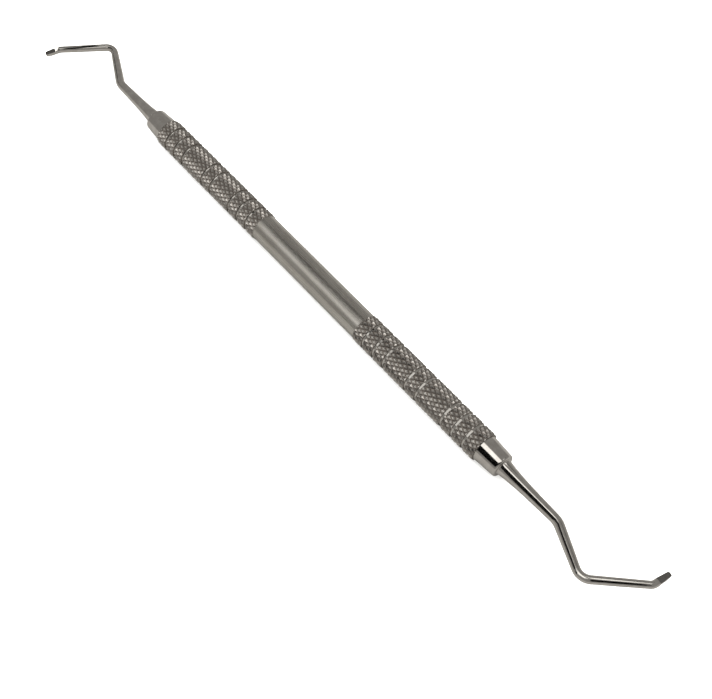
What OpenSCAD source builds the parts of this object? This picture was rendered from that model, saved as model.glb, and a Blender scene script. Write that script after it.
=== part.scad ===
// Double-ended dental hand scaler, built from the pieces it is really assembled from:
// a hollow knurled tube, a tapered collar pressed into each end of the tube, and a bent
// working end whose tang is brazed into each collar.
// X runs along the handle, Z is up, and the instrument lies on the plane Z = 0.

/* [Handle tube] */

// Diameter over the knurled grips
grip_d = 6.3; // [5.5:0.05:9]
// Length of each knurled grip
grip_len = 33.85; // [24:0.05:40]
// Diameter of the smooth waist between the grips
waist_d = 5.9; // [5:0.05:8.5]
// Length of the smooth waist
waist_len = 31.9; // [20:0.1:40]
// Diameter of the bore through the tube
bore_d = 4.2; // [3:0.05:6]
// Depth of each ring groove below the knurl
groove_depth = 0.34; // [0.1:0.01:0.6]
// Width of each ring groove at its floor
groove_w = 0.24; // [0.2:0.01:0.8]
// Chamfer on each edge of a knurled band
band_chamfer = 0.14; // [0.05:0.01:0.3]
// The long knurled band nearer the waist, as a multiple of a short band
inner_band = 2.38; // [1.5:0.01:3]
// The long knurled band nearer the collar, as a multiple of a short band
outer_band = 2.64; // [1.5:0.01:3]
// The last knurled band against the collar, as a multiple of a short band
end_band = 1.1; // [0.8:0.01:1.5]

/* [Collars] */

// Visible length of each collar
collar_len = 5.05; // [3:0.05:8]
// Diameter of the collar where it meets the grip
collar_back_d = 5.56; // [4.5:0.02:7]
// Diameter of the collar at its front edge
collar_front_d = 4.96; // [4:0.02:6]
// Height of the rounded front edge of the collar
collar_edge = 0.4; // [0.1:0.02:0.8]
// Length of the spigot pressed into the tube
spigot_len = 6; // [3:0.1:12]

/* [Working ends] */

// Diameter of the tang held in the collar
tang_d = 2.8; // [2:0.05:3.4]
// Diameter of the shank where it leaves the collar
root_d = 3.44; // [2.5:0.02:4]
// Collar face to first bend, corner to corner
first_run = 13.8; // [8:0.1:20]
// First bend to second bend, corner to corner
second_run = 11.2; // [6:0.1:16]
// Second bend to the blade's heel, corner to corner
third_run = 12.7; // [6:0.1:16]
// Near blade's length from its heel to its edge
blade_len = 3.5; // [1.5:0.05:6]
// Far blade's length from its heel to its edge
far_blade_len = 3.0; // [1.5:0.05:6]
// Angle of the first bend, away from the blade's side
first_turn = 26.4; // [0:0.1:60]
// Angle of the second bend, back towards the blade's side
second_turn = 74.3; // [20:0.1:110]
// Angle of the near blade from the terminal shank
blade_turn = 36; // [0:0.1:90]
// Angle of the far blade from the terminal shank
far_blade_turn = 22; // [0:0.1:90]
// Roll of the bent plane about the handle, which drops the blade towards the table
end_roll = 8; // [0:0.1:20]
// Radius of the first bend on the shank's centre line
first_bend_r = 4; // [2:0.1:8]
// Radius of the second bend on the shank's centre line
second_bend_r = 2.5; // [1.5:0.1:5]
// Radius of the blade's heel on the shank's centre line
heel_r = 1.6; // [1:0.1:4]
// Shank diameter at the first bend
first_bend_d = 1.9; // [1.2:0.02:2.6]
// Shank diameter at the second bend
second_bend_d = 1.64; // [1:0.02:2.4]
// Shank diameter at the blade's heel
heel_d = 1.46; // [0.9:0.02:2]

/* [Blade grinding] */

// Length over which the grinding runs out at the heel
runout = 1.1; // [0.3:0.05:2]
// Width of the blade between its ground sides, behind the edge
blade_w_heel = 1.24; // [0.8:0.02:1.8]
// Width of the blade between its ground sides, at the edge
blade_w_edge = 0.96; // [0.5:0.02:1.6]
// Height of the ground face above the centre line, where the run-out ends
face_heel = 0.4; // [0.2:0.02:0.7]
// Height of the ground face above the centre line, at the edge
face_edge = 0.3; // [0.1:0.02:0.8]
// Depth of the bevelled back below the centre line, at the edge
back_edge = 0.26; // [0.05:0.02:0.8]
// Length of the bevelled back
bevel_len = 2.6; // [0.5:0.05:5]
// Corner radius of the blade's end
blade_corner = 0.3; // [0.05:0.01:0.45]

/* [Hidden] */

$fn = 96;
// knurled bands of one grip in order, as multiples of a short band
BANDS = [1, 1, 1, inner_band, 1, outer_band, 1, 1, end_band];
groove_span = groove_w + 2 * band_chamfer;
short_len = (grip_len - (len(BANDS) - 1) * groove_span) / total(BANDS);
half_tube = waist_len / 2 + grip_len;
collar_face = half_tube + collar_len;
// the tang stops this far short of the spigot's inner end
tang_gap = 0.5;
tang_len = collar_len + spigot_len - tang_gap;
// the spigot's lead-in chamfer
lead = 0.3;
// larger than any shank or blade, for the grinding cuts
clear = 4;
// each straight run laps this far over the bend it meets, and is this much thicker than it
lap = 0.05;
step = 0.02;

function total(v, i = 0) = i < len(v) ? v[i] + total(v, i + 1) : 0;
// the start of band i, measured from the grip's end at the waist
function band_start(i) = i == 0 ? 0 : band_start(i - 1) + BANDS[i - 1] * short_len + groove_span;

// a solid turned about the X axis, from [x, radius] points
module turned(points) rotate([0, 90, 0]) rotate_extrude() polygon([for (p = points) [p[1], p[0]]]);

// one bent length of round bar: it starts at the origin heading along +X and turns by a, left if positive
module bent_bar(r, d, a)
    translate([0, sign(a) * r, 0]) rotate([0, 0, a > 0 ? -90 : 90 + a])
        rotate_extrude(angle = abs(a)) translate([r, 0]) circle(d = d - step);

// moves what follows to the end of a bend
module after_bend(r, a)
    translate([0, sign(a) * r, 0]) rotate([0, 0, a]) translate([0, -sign(a) * r, 0]) children();

// one straight tapered length of round bar along +X, lapping over the bend at each end
module straight_bar(len, d1, d2)
    translate([-lap, 0, 0]) rotate([0, 90, 0]) cylinder(h = len + 2 * lap, d1 = d1, d2 = d2);

// how much of a straight run a bend of radius r and angle a takes up at its corner
function setback(r, a) = r * tan(abs(a) / 2);

// ---- the handle ----

// outline of one grip from the waist outwards: bands with chamfered edges, parted by flat-floored grooves
function grip_outline() = [
    for (i = [0 : len(BANDS) - 1])
        let (a = band_start(i), b = a + BANDS[i] * short_len, r = grip_d / 2, g = r - groove_depth)
            for (p = [[a - (i == 0 ? 0 : band_chamfer), i == 0 ? waist_d / 2 : g],
                      [a + (i == 0 ? band_chamfer : 0), r],
                      [b - (i == len(BANDS) - 1 ? band_chamfer : 0), r],
                      [b + (i == len(BANDS) - 1 ? 0 : band_chamfer),
                       i == len(BANDS) - 1 ? r - band_chamfer : g]])
                [p[0] + waist_len / 2, p[1]]
];

module grip_tube() color("silver") {
    right = grip_outline();
    left = [for (i = [len(right) - 1 : -1 : 0]) [-right[i][0], right[i][1]]];
    translate([0, 0, grip_d / 2])
        turned(concat(left, right, [[half_tube, bore_d / 2], [-half_tube, bore_d / 2]]));
}

// ---- the collars ----

module collar() {
    front = collar_face - collar_edge;
    edge_r = collar_front_d / 2;
    turned([
        [half_tube - spigot_len, tang_d / 2], [half_tube - spigot_len, bore_d / 2 - lead],
        [half_tube - spigot_len + lead, bore_d / 2], [half_tube, bore_d / 2],
        [half_tube, collar_back_d / 2], [front, edge_r],
        for (a = [18 : 18 : 90]) [front + collar_edge * sin(a), edge_r - collar_edge * (1 - cos(a))],
        [collar_face, tang_d / 2]
    ]);
}

module collar_near() color("silver") translate([0, 0, grip_d / 2]) collar();
module collar_far() color("silver") translate([0, 0, grip_d / 2]) rotate([0, 0, 180]) collar();

// ---- the working ends ----

// a blade, ground from the end of the round bar: two sides, a flat face on top, a bevelled back
// and a rounded end
module blade(len) intersection() {
    straight_bar(len - lap, heel_d, heel_d);
    // sides and rounded end, seen from above
    translate([0, 0, -clear / 2]) linear_extrude(clear) difference() {
        polygon(concat(blade_side(1, len), [for (i = [3 : -1 : 0]) blade_side(-1, len)[i]]));
        for (s = [-1, 1]) translate([len - blade_corner, s * (blade_w_edge / 2 - blade_corner)])
            difference() {
                translate([0, s > 0 ? 0 : -1]) square([1, 1]);
                circle(r = blade_corner);
            }
    }
    // face and bevelled back, seen from the side
    translate([0, clear / 2, 0]) rotate([90, 0, 0]) linear_extrude(clear)
        polygon([[-1, clear], [0, heel_d / 2 + step], [runout, face_heel], [len, face_edge],
                 [len, -back_edge], [len - bevel_len, -heel_d / 2 - step], [-1, -clear]]);
}

// one ground side of a blade, running in from the full bar to the edge
function blade_side(s, len) = [
    [-1, s * clear], [0, s * (heel_d / 2 + step)], [runout, s * blade_w_heel / 2], [len, s * blade_w_edge / 2]
];

// the shank as it leaves the collar: a short flare, then a long slow taper.
// Each pair is a share of the run's length, and how much of the root's extra thickness is left there
FLARE = [[0, 1], [0.13, 0.68], [0.32, 0.42], [0.65, 0.17], [1, 0]];

module shank_root(len)
    turned(concat([[0, 0]],
                  [for (f = FLARE) [f[0] * (len + lap), (first_bend_d + f[1] * (root_d - first_bend_d)) / 2]],
                  [[len + lap, 0]]));

module working_end(turn, len) {
    straight1 = first_run - setback(first_bend_r, first_turn);
    straight2 = second_run - setback(first_bend_r, first_turn) - setback(second_bend_r, second_turn);
    straight3 = third_run - setback(second_bend_r, second_turn) - setback(heel_r, turn);
    translate([-tang_len, 0, 0]) straight_bar(tang_len, tang_d, tang_d);
    shank_root(straight1);
    translate([straight1, 0, 0]) {
        bent_bar(first_bend_r, first_bend_d, -first_turn);
        after_bend(first_bend_r, -first_turn) {
            straight_bar(straight2, first_bend_d, second_bend_d);
            translate([straight2, 0, 0]) {
                bent_bar(second_bend_r, second_bend_d, second_turn);
                after_bend(second_bend_r, second_turn) {
                    straight_bar(straight3, second_bend_d, heel_d);
                    translate([straight3, 0, 0]) {
                        bent_bar(heel_r, heel_d, turn);
                        after_bend(heel_r, turn) blade(len);
                    }
                }
            }
        }
    }
}

// sets a working end in its collar at the near end, rolled about the handle
module in_collar() translate([collar_face, 0, grip_d / 2]) rotate([-end_roll, 0, 0]) children();

module working_end_near() color("silver") in_collar() working_end(blade_turn, blade_len);
module working_end_far() color("silver")
    rotate([0, 0, 180]) in_collar() working_end(far_blade_turn, far_blade_len);

grip_tube();
collar_far();
collar_near();
working_end_far();
working_end_near();
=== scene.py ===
# %% [markdown]
# # A double-ended hand scaler
#
# A dentist's hand scaler is five pieces of stainless steel. A thin tube is the handle: two knurled
# grips with a smooth waist between them. A turned collar is pressed into each end of the tube, and
# a bent working end, drawn from round bar and ground to a small blade, is brazed into each collar.
# The two ends are the same pattern, turned half a turn about the vertical; the far blade is a little
# shorter and bent less than the near one.
#
# The CAD model is loaded first as a fixed frame. Each of its parts is then made again in full
# detail, exactly where the frame says it is.

# %% Load the frame
import math

import bmesh
import bpy
from mathutils import Matrix, Vector


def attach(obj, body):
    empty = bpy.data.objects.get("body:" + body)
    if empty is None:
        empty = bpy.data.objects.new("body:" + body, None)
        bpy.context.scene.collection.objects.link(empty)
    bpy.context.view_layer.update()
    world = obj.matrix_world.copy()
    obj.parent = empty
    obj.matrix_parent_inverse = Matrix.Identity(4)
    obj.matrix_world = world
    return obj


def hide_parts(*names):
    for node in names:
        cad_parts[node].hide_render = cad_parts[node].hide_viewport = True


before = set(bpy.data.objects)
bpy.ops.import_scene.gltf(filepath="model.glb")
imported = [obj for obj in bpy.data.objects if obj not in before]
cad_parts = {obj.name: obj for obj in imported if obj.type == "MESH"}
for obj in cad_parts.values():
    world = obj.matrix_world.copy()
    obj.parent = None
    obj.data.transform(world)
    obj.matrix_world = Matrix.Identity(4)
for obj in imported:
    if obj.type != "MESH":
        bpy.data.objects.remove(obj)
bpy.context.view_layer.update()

# %% [markdown]
# ## The camera
#
# The instrument lies across the picture from top left to bottom right, seen from well above. The
# camera looks down at 57.5 degrees with a long lens, close enough that the near end is a quarter
# larger than the far end. It is made first, so that every later step can be looked at through it.

# %% Camera
MM = 0.001
SENSOR_MM, LENS_MM = 36.0, 60.063
LOOK_AT = Vector((17.16, -3.13, 0.0)) * MM
ELEVATION, HEADING, DISTANCE = math.radians(57.5), math.radians(50.32), 230.48 * MM

forward = Vector((
    -math.sin(HEADING) * math.cos(ELEVATION),
    math.cos(HEADING) * math.cos(ELEVATION),
    -math.sin(ELEVATION),
))
bpy.ops.object.camera_add(location=LOOK_AT - forward * DISTANCE)
camera = bpy.context.object
camera.name = "camera"
camera.rotation_euler = forward.to_track_quat("-Z", "Y").to_euler()
camera.data.sensor_width = SENSOR_MM
camera.data.lens = LENS_MM
camera.data.clip_start, camera.data.clip_end = 0.01, 50.0
bpy.context.scene.camera = camera
print("camera at, mm:", [round(c / MM, 1) for c in camera.location], "lens", round(camera.data.lens, 1))

# %% [markdown]
# ## Helpers for working by hand
#
# Every piece is made as it would be by hand in edit mode: a primitive, then extrude, scale, spin,
# inset, bisect. The work is done in millimetres, one unit to the millimetre, because the merge and
# cut tolerances of the tools suit that size, and the finished piece is scaled to metres at the end.
# `pick` is the hand that selects: it leaves selected only what passes a test on its middle.

# %% Selecting and finishing
def begin(name):
    """Names the primitive that was just added, puts its place in its mesh and enters edit mode."""
    piece = bpy.context.object
    piece.name = piece.data.name = name
    bpy.ops.object.transform_apply(location=True, rotation=True, scale=True)
    bpy.ops.object.mode_set(mode="EDIT")
    bpy.ops.mesh.select_all(action="SELECT")
    return piece


def pick(kind, test):
    """Selects the vertices, edges or faces whose middle passes the test, and says how many."""
    bpy.ops.mesh.select_mode(type=kind)
    bpy.ops.mesh.select_all(action="DESELECT")
    work = bmesh.from_edit_mesh(bpy.context.edit_object.data)
    things = {"VERT": work.verts, "EDGE": work.edges, "FACE": work.faces}[kind]
    count = 0
    for thing in things:
        middle = thing.co if kind == "VERT" else sum((v.co for v in thing.verts), Vector()) / len(thing.verts)
        if test(middle, thing):
            thing.select_set(True)
            count += 1
    work.select_flush_mode()
    bmesh.update_edit_mesh(bpy.context.edit_object.data)
    return count


def tidy(merge=0.001):
    """Merges doubles, turns every face outwards and leaves edit mode."""
    bpy.ops.mesh.select_mode(type="VERT")
    bpy.ops.mesh.select_all(action="SELECT")
    bpy.ops.mesh.remove_doubles(threshold=merge)
    bpy.ops.mesh.normals_make_consistent(inside=False)
    bpy.ops.object.mode_set(mode="OBJECT")


def only(piece):
    """Leaves one object selected and active."""
    bpy.ops.object.select_all(action="DESELECT")
    piece.select_set(True)
    bpy.context.view_layer.objects.active = piece


def apply_modifier(piece, kind, **settings):
    """Adds a modifier and applies it at once."""
    only(piece)
    modifier = piece.modifiers.new(kind.lower(), kind)
    for key, value in settings.items():
        setattr(modifier, key, value)
    bpy.ops.object.modifier_apply(modifier=modifier.name)


def copy_of(piece, name, matrix=None):
    """A copy with a mesh of its own, moved in its mesh."""
    twin = piece.copy()
    twin.data = piece.data.copy()
    twin.name = twin.data.name = name
    bpy.context.collection.objects.link(twin)
    if matrix is not None:
        twin.data.transform(matrix)
    return twin


def join(pieces, name):
    """Joins pieces into the first one."""
    only(pieces[0])
    for piece in pieces:
        piece.select_set(True)
    bpy.ops.object.join()
    pieces[0].name = pieces[0].data.name = name
    return pieces[0]


def finish_piece(piece, node, smooth_deg):
    """Millimetres to metres, smooth shading, and the piece's place in the frame's books."""
    only(piece)
    piece.data.transform(Matrix.Scale(MM, 4))
    bpy.ops.object.shade_smooth_by_angle(angle=math.radians(smooth_deg))
    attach(piece, "root")
    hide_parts(node)
    print(f"{piece.name}: {len(piece.data.polygons)} faces, stands for {node}")


bpy.ops.object.select_all(action="DESELECT")
bpy.context.scene.cursor.location = (0, 0, 0)

# %% [markdown]
# ## Shader arithmetic
#
# The finishes are worked out with arithmetic on noise and position. Wrapping a node socket in a
# small class lets that be written as an ordinary expression, such as `1 - mask * 0.3`.

# %% A socket that can be added and multiplied
class Wire:
    """A number or vector that flows between nodes."""

    def __init__(self, tree, socket):
        self.tree, self.socket = tree, socket

    def node(self, kind, sockets=(), out=0, **settings):
        """Adds a node: its settings first, then its inputs by name or number."""
        made = self.tree.nodes.new("ShaderNode" + kind)
        for key, value in settings.items():
            setattr(made, key, value)
        for key, value in dict(sockets).items():
            if isinstance(value, Wire):
                self.tree.links.new(value.socket, made.inputs[key])
            else:
                made.inputs[key].default_value = value
        return Wire(self.tree, made.outputs[out])

    def math(self, operation, *others):
        return self.node("Math", enumerate((self, *others)), operation=operation)

    def __add__(self, other):
        return self.math("ADD", other)

    def __sub__(self, other):
        return self.math("SUBTRACT", other)

    def __rsub__(self, other):
        return (self * -1.0) + other

    def __mul__(self, other):
        return self.math("MULTIPLY", other)

    def __pow__(self, other):
        return self.math("POWER", other)

    __radd__, __rmul__ = __add__, __mul__

    def between(self, low, high):
        """0 below low, 1 above high, smooth in between."""
        return self.node("MapRange", {0: self, 1: low, 2: high}, interpolation_type="SMOOTHSTEP")

    def scaled(self, x, y, z):
        """A vector stretched along each axis."""
        return self.node("VectorMath", {0: self, 1: (x, y, z)}, operation="MULTIPLY")

    def noise(self, scale, detail=3.0, roughness=0.5):
        """Smooth noise from 0 to 1 around 0.5, read at this place."""
        return self.node(
            "TexNoise", {"Vector": self, "Scale": scale, "Detail": detail, "Roughness": roughness}
        )

    def tinted(self, dark, light):
        """A colour from dark to light as this number goes from 0 to 1."""
        factor, first, second, colour_out = 0, 6, 7, 2      # the sockets of a colour mix, by number
        return self.node(
            "Mix", {factor: self, first: (*dark, 1), second: (*light, 1)}, out=colour_out, data_type="RGBA"
        )

    def axes(self):
        """The three numbers of a vector."""
        split = self.tree.nodes.new("ShaderNodeSeparateXYZ")
        self.tree.links.new(self.socket, split.inputs[0])
        return [Wire(self.tree, out) for out in split.outputs]


def steel(name):
    """A fresh metal: gives its place in millimetres, its shader node and the material."""
    material = bpy.data.materials.new(name)
    material.use_nodes = True
    tree = material.node_tree
    shader = tree.nodes["Principled BSDF"]
    shader.inputs["Metallic"].default_value = 1.0
    object_out = 3                                          # the Object socket of the coordinates
    place = Wire(tree, None).node("TexCoord", out=object_out).scaled(1 / MM, 1 / MM, 1 / MM)
    return material, shader, place


def feed(shader, **wires):
    """Links wires to the shader's inputs; underscores stand for spaces."""
    for key, wire in wires.items():
        wire.tree.links.new(wire.socket, shader.inputs[key.replace("_", " ")])


def bumped(height, strength, depth_mm):
    """A surface direction from a height."""
    return height.node("Bump", {"Height": height, "Strength": strength, "Distance": depth_mm * MM})


# %% [markdown]
# ## The finishes
#
# Three finishes, one steel. The tube is satin: it was polished lengthwise with fine abrasive, so its
# reflections are soft and drawn out, with long faint streaks. In the knurling the crests are lighter,
# worn bright by handling, and the roots are a little rougher and painted darker, as painted shade in
# the hollows of the cut. The collars and working ends are buffed nearly to a mirror, with a little
# haze and faint marks around the bar.

# %% Satin steel for the handle
satin, shader, place = steel("satin_finish")
streaks = place.scaled(0.05, 1.6, 1.6).noise(1.0, detail=4.0)
cloud = place.scaled(0.25, 0.5, 0.5).noise(1.0)
scratches = place.scaled(0.35, 9.0, 9.0).noise(1.0, detail=5.0, roughness=0.65)
feed(
    shader,
    Base_Color=(streaks * 0.6 + cloud * 0.4).between(0.3, 0.7).tinted(
        (0.50, 0.475, 0.435), (0.60, 0.58, 0.545)
    ),
    Roughness=(scratches - 0.5) * 0.12 + (streaks - 0.5) * 0.10 + 0.27,
    Normal=bumped(scratches, 0.25, 0.01),
)

# %% Knurled steel, the same metal with crests lightened by wear and painted shade in the roots
AXIS_HEIGHT = 3.15                        # the handle's middle line over the table
ROOT_OF_CUT, TOP_OF_CUT = 2.90, 3.12      # distances from that line

knurled, shader, place = steel("knurl_finish_and_root_shade")
x, y, z = place.axes()
z = z - AXIS_HEIGHT
# 0 in the roots of the cut, 1 on the crests: it lightens the worn crests and paints shade into the roots,
# which are also a little rougher
worn_crest_and_shaded_root = ((y * y + z * z) ** 0.5).between(ROOT_OF_CUT, TOP_OF_CUT)
grain = place.noise(1.4, detail=3.0)
torn = place.noise(9.0, detail=4.0, roughness=0.6)
feed(
    shader,
    Base_Color=(worn_crest_and_shaded_root * 0.75 + (grain - 0.5) * 0.5).between(0.0, 1.0).tinted(
        (0.34, 0.31, 0.285), (0.66, 0.64, 0.61)
    ),
    Roughness=0.30 - worn_crest_and_shaded_root * 0.08 + (grain - 0.5) * 0.12,
    Normal=bumped(torn, 0.35, 0.02),
)

# %% Buffed steel for the collars and working ends
buffed, shader, place = steel("buffed_finish")
haze = place.noise(0.8, detail=2.0)
marks = place.scaled(5.0, 0.8, 0.8).noise(1.0, detail=4.0)
feed(
    shader,
    Base_Color=haze.between(0.3, 0.7).tinted((0.58, 0.555, 0.525), (0.66, 0.64, 0.61)),
    Roughness=(haze - 0.5) * 0.08 + (marks - 0.5) * 0.04 + 0.10,
    Normal=bumped(marks, 0.10, 0.01),
)
print("finishes:", [m.name for m in (satin, knurled, buffed)])

# %% [markdown]
# ## The tube
#
# The handle starts as plain tube, 5.9 mm outside and 4.2 mm inside. A lathe cuts rings into the
# grips, down to 5.62 mm, and leaves the waist alone. In Blender this is a circle that is extruded
# along the axis and scaled at each step, which is what turning does: it only ever changes the
# radius at a place along the axis.

# %% Turning
SIDES = 128


def turn(name, stations, sides=SIDES):
    """A closed ring turned about the handle's axis: stations are (place along the axis, radius)."""
    x, radius = stations[0]
    bpy.ops.mesh.primitive_circle_add(
        vertices=sides, radius=radius, rotation=(0, math.pi / 2, 0), location=(x, 0, AXIS_HEIGHT)
    )
    piece = begin(name)
    for to_x, to_radius in stations[1:]:
        bpy.ops.mesh.extrude_region_move(TRANSFORM_OT_translate={"value": (to_x - x, 0, 0)})
        share = to_radius / radius
        bpy.ops.transform.resize(value=(1, share, share), center_override=(to_x, 0, AXIS_HEIGHT))
        x, radius = to_x, to_radius
    tidy()
    return piece


GRIP_OUT, GRIP_IN = 49.8, 15.95         # where a grip ends, from the middle of the handle
CREST_R, WAIST_R, FLOOR_R, BORE_R = 3.15, 2.95, 2.81, 2.1
UNDER_BAND = 16.1                       # the step in the tube is hidden under the innermost band
TUBE_END = GRIP_OUT - 0.04              # the tube stops just inside the skin of the grip

half = [(0.0, WAIST_R), (UNDER_BAND, WAIST_R), (UNDER_BAND, FLOOR_R), (TUBE_END, FLOOR_R)]
outside = [(-x, r) for x, r in reversed(half[1:])] + half
inside = [(TUBE_END, BORE_R), (-TUBE_END, BORE_R)]
tube = turn("knurled_handle", outside + inside + outside[:1])
print("tube faces:", len(tube.data.polygons))

# %% [markdown]
# ## The knurling
#
# Knurling is pressed or cut by two wheels whose teeth run in opposite spirals, so it is a lattice
# of little pyramids. After it, the lathe turns narrow rings through it, and so the lattice carries
# on across them. It is made the same way here, but flat, as if the skin of the tube were unrolled:
# a grid is turned by 45 degrees, every square of it is inset and raised into a pyramid, and it is
# stretched until its squares are the diamonds. The sheet is cut to the tube's circumference and to
# the grip's length, the rings are cut out of it, and at last it is rolled up with a bend. Rolling a
# flat sheet keeps every diamond alike, which is hard to get when modelling on a cylinder.

# %% The unrolled sheet: x runs round the tube, y along it, z outwards
DIAMONDS_AROUND = 20
AROUND = 2 * math.pi * CREST_R / DIAMONDS_AROUND    # a diamond's width
ALONG = 1.62                                        # and its length
DEPTH, CREST_SHARE = 0.24, 0.20                     # height of a pyramid, and how much of it is left flat
strip = AROUND * DIAMONDS_AROUND
grip = GRIP_OUT - GRIP_IN
CUT_TOLERANCE = 0.0001                              # how near to a vertex a cut counts as through it

cells = 2 * math.ceil((DIAMONDS_AROUND + grip / ALONG) / 2 + 1)
bpy.ops.mesh.primitive_grid_add(
    x_subdivisions=cells, y_subdivisions=cells, size=cells / math.sqrt(2), rotation=(0, 0, math.pi / 4)
)
sheet = begin("knurled_sheet")
bpy.ops.mesh.select_mode(type="FACE")
half_square = 0.5 / math.sqrt(2)
bpy.ops.mesh.inset(thickness=half_square * (1 - CREST_SHARE), depth=DEPTH, use_individual=True)
bpy.ops.mesh.select_mode(type="VERT")
bpy.ops.mesh.select_all(action="SELECT")
bpy.ops.transform.resize(value=(AROUND, ALONG, 1), center_override=(0, 0, 0))
bpy.ops.transform.translate(value=(0, 0, -DEPTH))


def cut_off(middle, out):
    """Cuts away all of the sheet that lies past a plane."""
    bpy.ops.mesh.select_all(action="SELECT")
    bpy.ops.mesh.bisect(plane_co=middle, plane_no=out, clear_outer=True, threshold=CUT_TOLERANCE)


cut_off((strip / 2, 0, 0), (1, 0, 0))
cut_off((-strip / 2, 0, 0), (-1, 0, 0))
print("diamonds around:", DIAMONDS_AROUND, "sheet faces:", len(bmesh.from_edit_mesh(sheet.data).faces))

# %% The rings cut through it
CHAMFER, LIP_R, INNER_R = 0.12, 3.00, 2.76
SHORT_BAND, INNER_BAND, OUTER_BAND, END_BAND, GROOVE = 2.45, 5.83, 6.468, 2.695, 0.52
LENGTHS = [SHORT_BAND] * 3 + [INNER_BAND, SHORT_BAND, OUTER_BAND] + [SHORT_BAND] * 2 + [END_BAND]
bands, start = [], -grip / 2
for length in LENGTHS:
    bands.append((start, start + length))
    start += length + GROOVE

cut_off((0, bands[-1][1] - CHAMFER, 0), (0, 1, 0))
cut_off((0, bands[0][0] + CHAMFER, 0), (0, -1, 0))
for (_, end), (begins, _) in zip(bands, bands[1:]):
    for place_y in (end - CHAMFER, begins + CHAMFER):
        bpy.ops.mesh.select_all(action="SELECT")
        bpy.ops.mesh.bisect(plane_co=(0, place_y, 0), plane_no=(0, 1, 0), threshold=CUT_TOLERANCE)
    pick("FACE", lambda m, f: end - CHAMFER < m.y < begins + CHAMFER)
    bpy.ops.mesh.delete(type="FACE")

NEAR = 0.0005
for side, places in ((1, [b[1] - CHAMFER for b in bands]), (-1, [b[0] + CHAMFER for b in bands])):
    found = pick("EDGE", lambda m, e: e.is_boundary and min(abs(m.y - p) for p in places) < NEAR)
    bpy.ops.mesh.extrude_region_move(TRANSFORM_OT_translate={"value": (0, side * CHAMFER, 0)})
    bpy.ops.transform.resize(value=(1, 1, 0), center_override=(0, 0, LIP_R - CREST_R))
    bpy.ops.mesh.extrude_region_move(TRANSFORM_OT_translate={"value": (0, 0, INNER_R - LIP_R)})
    print("band ends:", found, "edges")
bpy.ops.mesh.select_all(action="SELECT")
bpy.ops.transform.rotate(value=-math.pi / 2, orient_axis="X", center_override=(0, 0, 0))
bpy.ops.object.mode_set(mode="OBJECT")

# %% Rolled up, and closed underneath
apply_modifier(sheet, "SIMPLE_DEFORM", deform_method="BEND", deform_axis="Z", angle=2 * math.pi)
middle_x = (GRIP_IN + GRIP_OUT) / 2
sheet.data.transform(
    Matrix.Translation((middle_x, 0, AXIS_HEIGHT))
    @ Matrix.Rotation(math.pi / 2, 4, "Y")
    @ Matrix.Translation((0, -CREST_R, 0))
)
only(sheet)
bpy.ops.object.mode_set(mode="EDIT")
bpy.ops.mesh.select_mode(type="VERT")
bpy.ops.mesh.select_all(action="SELECT")
bpy.ops.mesh.remove_doubles(threshold=0.002)
for low, high in bands:
    pick("EDGE", lambda m, e: e.is_boundary and low - NEAR < m.x - middle_x < high + NEAR)
    bpy.ops.mesh.bridge_edge_loops()
tidy(0.0002)
radii = [math.hypot(v.co.y, v.co.z - AXIS_HEIGHT) for v in sheet.data.vertices]
print("grip: radius", round(min(radii), 3), "to", round(max(radii), 3), "faces", len(sheet.data.polygons))

# %% Both grips on the tube
HALF_TURN = Matrix.Rotation(math.pi, 4, "Z")
far_sheet = copy_of(sheet, "far_grip", HALF_TURN)
for part, finish in ((tube, satin), (sheet, knurled), (far_sheet, knurled)):
    part.data.materials.append(finish)
tube.data.materials.append(buffed)
for face in tube.data.polygons:
    face.material_index = int(abs(face.center.x) > UNDER_BAND)    # the rings were cut last and are bright
handle = join([tube, sheet, far_sheet], "knurled_handle")
finish_piece(handle, "grip_tube", smooth_deg=25)

# %% [markdown]
# ## The collars
#
# A collar is turned in one go: a spigot that is pressed into the tube, a back edge against the
# tube's end, a slow taper, and a rounded front edge down to the bore that holds the working end.
# The rounded edge is made of many short steps, because on buffed metal it is seen as one bright
# curl of light, and a few large steps would break it up.

# %% One collar, turned at the near end and copied to the far end
COLLAR_FACE = 54.85
BACK_R, FRONT_R, EDGE_R, TANG_R = 2.78, 2.48, 0.42, 1.4
SPIGOT_IN, SPIGOT_R, LEAD = 43.8, 2.09, 0.3
BREAK, SMALL_BREAK = 0.06, 0.02           # the back edge, just broken
TAPER_STEPS, EDGE_STEPS = 6, 10

back, front = GRIP_OUT + BREAK, COLLAR_FACE - EDGE_R
taper = [
    (back + (front - back) * i / TAPER_STEPS, BACK_R + (FRONT_R - BACK_R) * i / TAPER_STEPS)
    for i in range(1, TAPER_STEPS + 1)
]
rounded = [
    (front + EDGE_R * math.sin(a), FRONT_R - EDGE_R * (1 - math.cos(a)))
    for a in (math.radians(90 * i / EDGE_STEPS) for i in range(1, EDGE_STEPS + 1))
]
collar_profile = (
    [(SPIGOT_IN, TANG_R), (SPIGOT_IN, SPIGOT_R - LEAD), (SPIGOT_IN + LEAD, SPIGOT_R), (GRIP_OUT, SPIGOT_R)]
    + [(GRIP_OUT, BACK_R - BREAK), (GRIP_OUT + SMALL_BREAK, BACK_R - SMALL_BREAK), (back, BACK_R)]
    + taper
    + rounded
    + [(COLLAR_FACE, TANG_R), (SPIGOT_IN, TANG_R)]
)
near_collar = turn("collar_near_turned", collar_profile)
far_collar = copy_of(near_collar, "collar_far_turned", HALF_TURN)
for part, node in ((near_collar, "collar_near"), (far_collar, "collar_far")):
    part.data.materials.append(buffed)
    finish_piece(part, node, smooth_deg=30)

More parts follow.
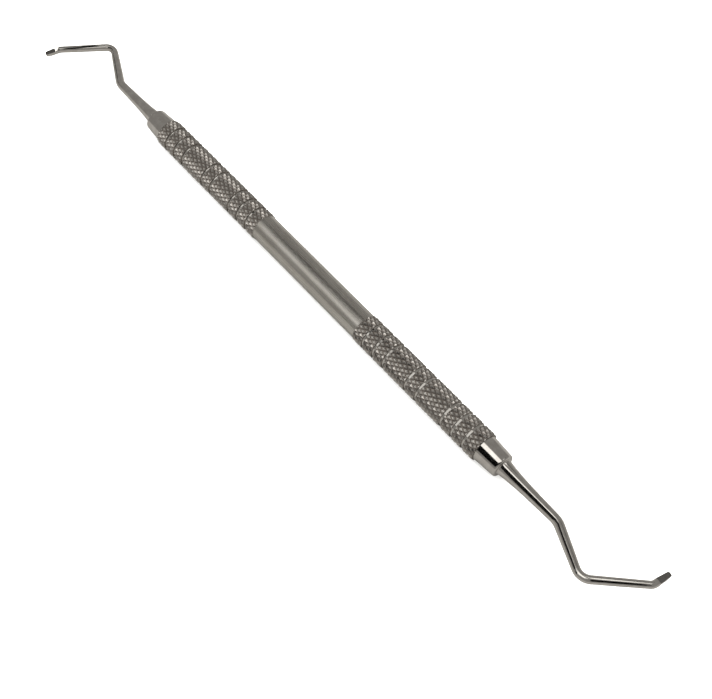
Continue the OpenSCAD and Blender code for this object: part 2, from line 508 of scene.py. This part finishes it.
# %% [markdown]
# ## The working ends
#
# A working end begins as round bar. Its root is turned with a short flare, it is drawn down to a
# slow taper, bent three times over formers, and its last few millimetres are ground into a blade.
# It is made in that order here. A circle is extruded and scaled along each straight, and spun round
# each former for the bends. Spinning the open end of the bar keeps it round and keeps the bend a
# true arc, as a former does. `Bar` is the hand that holds the open end.

# %% A bar that is drawn on and bent from its open end
class Bar:
    """A round bar that grows from its open end. It starts heading along +X and bends in the XY plane."""

    def __init__(self, name, start_x, diameter, sides=64):
        bpy.ops.mesh.primitive_circle_add(
            vertices=sides, radius=diameter / 2, rotation=(0, math.pi / 2, 0), location=(start_x, 0, 0),
            fill_type="NGON",
        )
        self.piece = begin(name)
        self.end, self.heading, self.diameter = Vector((start_x, 0, 0)), 0.0, diameter

    def thickness(self, diameter):
        """Scales the open end about its own middle."""
        bpy.ops.transform.resize(value=(diameter / self.diameter,) * 3, center_override=self.end)
        self.diameter = diameter

    def straight(self, length, diameter=None):
        """Draws the bar on, to a new diameter if one is given."""
        step = Vector((math.cos(self.heading), math.sin(self.heading), 0)) * length
        bpy.ops.mesh.extrude_region_move(TRANSFORM_OT_translate={"value": step})
        self.end = self.end + step
        if diameter:
            self.thickness(diameter)

    def bend(self, degrees, radius, steps):
        """Bends the bar round a former, to the left if degrees is positive."""
        turn_by = math.radians(degrees)
        side = math.copysign(1, degrees)
        left = Vector((-math.sin(self.heading), math.cos(self.heading), 0))
        centre = self.end + left * radius * side
        bpy.ops.mesh.spin(steps=steps, angle=-turn_by, center=centre, axis=(0, 0, 1))   # plus is clockwise
        self.end = centre + Matrix.Rotation(turn_by, 3, "Z") @ (self.end - centre)
        self.heading += turn_by

    def taper(self, length, diameter, steps):
        """Draws the bar on in even steps, down to a new diameter."""
        for left in range(steps, 0, -1):
            self.straight(length / steps, self.diameter + (diameter - self.diameter) / left)

    def place(self):
        """The frame of the open end: origin at its middle, +X out of the bar."""
        return Matrix.Translation(self.end) @ Matrix.Rotation(self.heading, 4, "Z")


# %% The bar, from the tang in the collar to the heel of the blade
TANG_LEN = 10.55
FIRST_RUN, SECOND_RUN, THIRD_RUN = 13.8, 11.2, 12.7                 # corner to corner
FIRST_TURN, SECOND_TURN = -26.4, 74.3
FIRST_FORMER, SECOND_FORMER, HEEL_FORMER = 4.0, 2.5, 1.6            # radius of each bend
SECOND_D, HEEL_D = 1.62, 1.46                                       # thickness at the last two bends
LOOSE = 0.02                                                        # the tang's play in its bore
BRAZE_D, ROOT_START = 3.62, ((0.04, 3.50), (0.10, 3.43))            # the ring of braze at the shoulder
ROOT_STEPS, DRAW_STEPS = 20, 6


def setback(radius, degrees):
    """How far before its corner a bend begins."""
    return radius * math.tan(math.radians(abs(degrees)) / 2)


def root_thickness(s):
    """The flare at the collar dies away within a few millimetres into a slow, even taper."""
    thickness, taper, flare, flare_length = 2.46, 0.04, 0.96, 3
    return thickness - taper * s + flare * math.exp(-s / flare_length)


def draw_bar(name, heel_turn, blade):
    """The bent round bar of one end: gives the piece, and the place where its blade starts."""
    bar = Bar(name, -TANG_LEN, 2 * TANG_R - LOOSE)
    bar.straight(TANG_LEN)
    bar.thickness(BRAZE_D)
    for s, d in ROOT_START:
        bar.straight(s - bar.end.x, d)
    flare_from = bar.end.x
    first = FIRST_RUN - setback(FIRST_FORMER, FIRST_TURN)
    for i in range(1, ROOT_STEPS + 1):
        s = flare_from + (first - flare_from) * (i / ROOT_STEPS) ** 1.5     # close steps in the flare
        bar.straight(s - bar.end.x, root_thickness(s))
    bar.bend(FIRST_TURN, FIRST_FORMER, steps=10)
    second = SECOND_RUN - setback(FIRST_FORMER, FIRST_TURN) - setback(SECOND_FORMER, SECOND_TURN)
    bar.taper(second, SECOND_D, DRAW_STEPS)
    bar.bend(SECOND_TURN, SECOND_FORMER, steps=24)
    third = THIRD_RUN - setback(SECOND_FORMER, SECOND_TURN) - setback(HEEL_FORMER, heel_turn)
    bar.taper(third, HEEL_D, DRAW_STEPS)
    bar.bend(heel_turn, HEEL_FORMER, steps=12)
    blade_frame = bar.place()
    bar.straight(blade)
    bpy.ops.mesh.edge_face_add()
    tidy()
    print(name, "drawn and bent, heel at", [round(c, 2) for c in blade_frame.translation])
    return bar.piece, blade_frame


# %% [markdown]
# ## Grinding the blade
#
# The blade is what a few passes of a grinding wheel leave of the bar: two sides that run in to the
# edge, a flat face on top, and a bevelled back. Each pass is a block with the wheel's outline,
# taken away with a boolean, so every ground face is truly flat and meets its neighbours in a crisp
# line, as on the real one. The outlines start from the full bar and run out into it, because a
# wheel leaves no step behind.

# %% The wheel passes
FULL = HEEL_D / 2 + 0.02                  # just outside the bar, where a wheel leaves it
RUNOUT = 1.1                              # the slope over which a wheel runs out at the heel
SIDE_START, SIDE_HEEL, SIDE_EDGE = 0.02, 0.62, 0.48
FACE_START, FACE_HEEL, FACE_EDGE = -0.43, 0.40, 0.30    # the face starts a little way into the heel's bend
BACK_EDGE, BEVEL = 0.26, 2.6
PAST, AWAY = 0.7, 3.0                     # how far a wheel passes the tip and stands off the bar
CORNER_R, BROKEN = 0.28, 0.02             # the tip's rounded corners, and every edge just broken
SHARP = math.radians(22)                  # an edge that turns more than this is broken


def wheel(shank, blade_frame, outline, upright):
    """Takes from the bar a block with this outline, seen from above or, if upright, from the side."""
    bpy.ops.mesh.primitive_circle_add(vertices=len(outline), radius=1, fill_type="NGON")
    block = begin("wheel")
    work = bmesh.from_edit_mesh(block.data)
    work.verts.ensure_lookup_table()
    for vertex, (along, across) in zip(work.verts, outline):
        vertex.co = (along, -AWAY, across) if upright else (along, across, -AWAY)
    bmesh.update_edit_mesh(block.data)
    bpy.ops.mesh.extrude_region_move(
        TRANSFORM_OT_translate={"value": (0, 2 * AWAY, 0) if upright else (0, 0, 2 * AWAY)}
    )
    tidy()
    block.matrix_world = blade_frame
    apply_modifier(shank, "BOOLEAN", operation="DIFFERENCE", solver="EXACT", object=block)
    bpy.data.objects.remove(block)


def run_on(a, b, x):
    """The height at x of the line through a and b."""
    return a[1] + (b[1] - a[1]) * (x - a[0]) / (b[0] - a[0])


def flat_pass(start, heel, edge):
    """The outline of a wheel that leaves the bar at start, runs in to heel and goes on past edge."""
    past = edge[0] + PAST
    return [(start, FULL), heel, (past, run_on(heel, edge, past)), (past, AWAY), (start, AWAY)]


def grind(shank, blade_frame, blade):
    """Grinds the end of a bar into a blade, rounds its corners and just breaks its edges."""
    outline = flat_pass(SIDE_START, (RUNOUT, SIDE_HEEL), (blade, SIDE_EDGE))
    for side in (1, -1):
        wheel(shank, blade_frame, [(along, side * across) for along, across in outline], upright=False)
    outline = flat_pass(FACE_START, (FACE_START + RUNOUT, FACE_HEEL), (blade, FACE_EDGE))
    wheel(shank, blade_frame, outline, upright=True)
    start, edge, past = (blade - BEVEL, -FULL), (blade, -BACK_EDGE), blade + PAST
    outline = [start, (past, run_on(start, edge, past)), (past, -AWAY), (start[0], -AWAY)]
    wheel(shank, blade_frame, outline, upright=True)

    to_blade = blade_frame.inverted()
    close = 0.02

    def upright_at_tip(middle, edge):
        """Is this edge one of the blade's two standing corners at the very end?"""
        one, other = (to_blade @ v.co for v in edge.verts)
        here = to_blade @ middle
        return here.x > blade - close / 2 and abs(here.y) > SIDE_EDGE - close and abs(one.y - other.y) < close

    only(shank)
    bpy.ops.object.mode_set(mode="EDIT")
    bpy.ops.mesh.select_all(action="SELECT")
    bpy.ops.mesh.remove_doubles(threshold=0.001)
    corners = pick("EDGE", upright_at_tip)
    bpy.ops.mesh.bevel(offset=CORNER_R, segments=10, affect="EDGES", clamp_overlap=True)
    tidy()
    apply_modifier(shank, "BEVEL", width=BROKEN, segments=2, limit_method="ANGLE", angle_limit=SHARP)
    print("tip corners:", corners, "faces:", len(shank.data.polygons))


# %% One end at each end of the handle, rolled a little about the handle's axis
END_ROLL = math.radians(8)
to_near = Matrix.Translation((COLLAR_FACE, 0, AXIS_HEIGHT)) @ Matrix.Rotation(-END_ROLL, 4, "X")
for name, node, heel_turn, blade, to_place in (
    ("working_end_near_ground", "working_end_near", 36.0, 3.5, to_near),
    ("working_end_far_ground", "working_end_far", 22.0, 3.0, HALF_TURN @ to_near),
):
    shank, blade_frame = draw_bar(name, heel_turn, blade)
    grind(shank, blade_frame, blade)
    shank.data.transform(to_place)
    shank.data.materials.append(buffed)
    finish_piece(shank, node, smooth_deg=10)    # small, so that ground faces stay flat

# %% [markdown]
# ## The table and the light
#
# The instrument lies on a white table in soft light, so the table is burnt out to plain white
# while the metal, which only shows what it reflects, stays grey. The table is lit by a soft sun
# that the metal doesn't see. What the metal sees is set up on its own: an even grey surround, a
# grey card in place of the white table, and a few lights and black flags over it. Long round metal
# squeezes each of them into a thin line along itself, and so every light and flag is placed for
# the one line that it draws. Steel is drawn by its black lines as much as by its bright ones.

# %% Dull surfaces, and cards that only the metal sees
LAMP_COLOUR = (1.0, 0.985, 0.95)


def matt(name, colour, roughness=1.0, light=0.0):
    """A surface with no gloss of its own, which glows if light is more than 0."""
    material = bpy.data.materials.new(name)
    material.use_nodes = True
    shader = material.node_tree.nodes["Principled BSDF"]
    shader.inputs["Base Color"].default_value = (*colour, 1)
    shader.inputs["Roughness"].default_value = roughness
    shader.inputs["Specular IOR Level"].default_value = 0.0
    shader.inputs["Emission Color"].default_value = (*LAMP_COLOUR, 1)
    shader.inputs["Emission Strength"].default_value = light
    return material


def set_aside():
    """Deselects everything."""
    bpy.ops.object.select_all(action="DESELECT")


def hide_from_all_but_metal(card):
    """Only reflections see this card: the camera, the table and the shadows don't."""
    card.visible_camera = card.visible_diffuse = card.visible_shadow = card.visible_transmission = False


# %% Table, and the grey card that the metal sees instead
FLOOR_SIZE, CARD_LIFT = 30, 0.00002       # metres
bpy.ops.mesh.primitive_plane_add(size=FLOOR_SIZE)
table = bpy.context.object
table.name = "table"
table.data.materials.append(matt("white_paper", (0.86, 0.86, 0.85), roughness=0.9))
table.visible_glossy = False

bpy.ops.mesh.primitive_plane_add(size=FLOOR_SIZE, location=(0, 0, CARD_LIFT))
card = bpy.context.object
card.name = "grey_card"
card.data.materials.append(matt("grey_card", (0.185, 0.18, 0.17)))
hide_from_all_but_metal(card)
for flat in (table, card):
    set_aside()

# %% Surround, and the table's light
world = bpy.data.worlds.new("surround")
world.use_nodes = True
bpy.context.scene.world = world
world.node_tree.nodes["Background"].inputs["Color"].default_value = (0.30, 0.29, 0.275, 1)
world.node_tree.nodes["Background"].inputs["Strength"].default_value = 1.0

bpy.ops.object.light_add(type="SUN", location=(0, 0, 1))
sun = bpy.context.object
sun.name = "table_light"
sun.data.energy = 8.5
sun.data.angle = math.radians(120)
sun.visible_glossy = False


# %% Lights and flags over the instrument, each with its height, its light and its corners
def overhead(name, height, light, corners):
    """A flat card over the instrument that only the metal sees, black if its light is 0."""
    bpy.ops.mesh.primitive_circle_add(vertices=len(corners), radius=1, fill_type="NGON")
    card = bpy.context.object
    card.name = name
    for vertex, (x, y) in zip(card.data.vertices, corners):
        vertex.co = Vector((x, y, height)) * MM
    card.data.materials.append(matt(name, (0, 0, 0), light=light))
    hide_from_all_but_metal(card)
    set_aside()
    print(f"{name}: {height} mm up, light {light}")


# the two bright lines along the waist, and the dark one between them
overhead("window", 600, 0.94, [
    (-530, -560), (-330, -900), (-250, -900), (60, -400), (60, 20), (-120, 60),
    (-243, 60), (-246, -330), (-300, -330), (-398, -200), (-402, 60), (-530, 60),
])
overhead("dark_beam", 580, 0.0, [(-412, -75), (-236, -240), (-236, 300), (-300, 280), (-412, 110)])

# the bright line of the near collar and shank, that of its last straight, and the far blade's glint
overhead("ceiling_lamp", 595, 1.6, [(-110, -330), (250, -330), (250, 20), (-110, 20)])
overhead("side_lamp", 250, 1.6, [(50, 110), (150, 70), (165, 95), (70, 170)])
overhead("far_lamp", 60, 3.0, [(-196, -49), (-173, -49), (-173, -24), (-196, -24)])

# the black line from the near collar down each straight of its shank, and the dark face of its blade
overhead("shade_collar", 60, 0.0, [
    (-5, -190), (15, -119), (34, -33), (45, -33), (56, -31), (56, -90), (50, -110), (40, -150), (25, -190),
])
overhead("shade_second", 20, 0.0, [
    (49, -21), (52.5, -8), (54, -5), (61, -3), (67, -4.8), (69, -9), (60, -24),
])
overhead("shade_third", 60, 0.0, [(110, -4), (114, 12), (150, -6), (220, -45), (200, -65), (130, -28)])
overhead("shade_face_near", 250, 0.13, [(8, 215), (98, 215), (98, 300), (8, 300)])

# the same on the far end's last straight, its heel and the face of its blade
overhead("shade_third_far", 13, 0.0, [
    (-84, -15), (-81, -14), (-83.2, -5.5), (-82.6, -0.5), (-95, 6), (-96, 3), (-88.4, -2.5), (-88.2, -7.5),
])
overhead("shade_heel_far", 13.5, 0.26, [(-95.5, -8), (-88.8, -8), (-89, -2.8), (-95.5, 2)])
overhead("shade_face_far", 13, 0.10, [(-104, -12), (-95.5, -12), (-95.5, -3), (-104, -3)])

# %% View settings: plain, so that white is white
bpy.context.scene.view_settings.view_transform = "Standard"
bpy.context.scene.view_settings.look = "None"
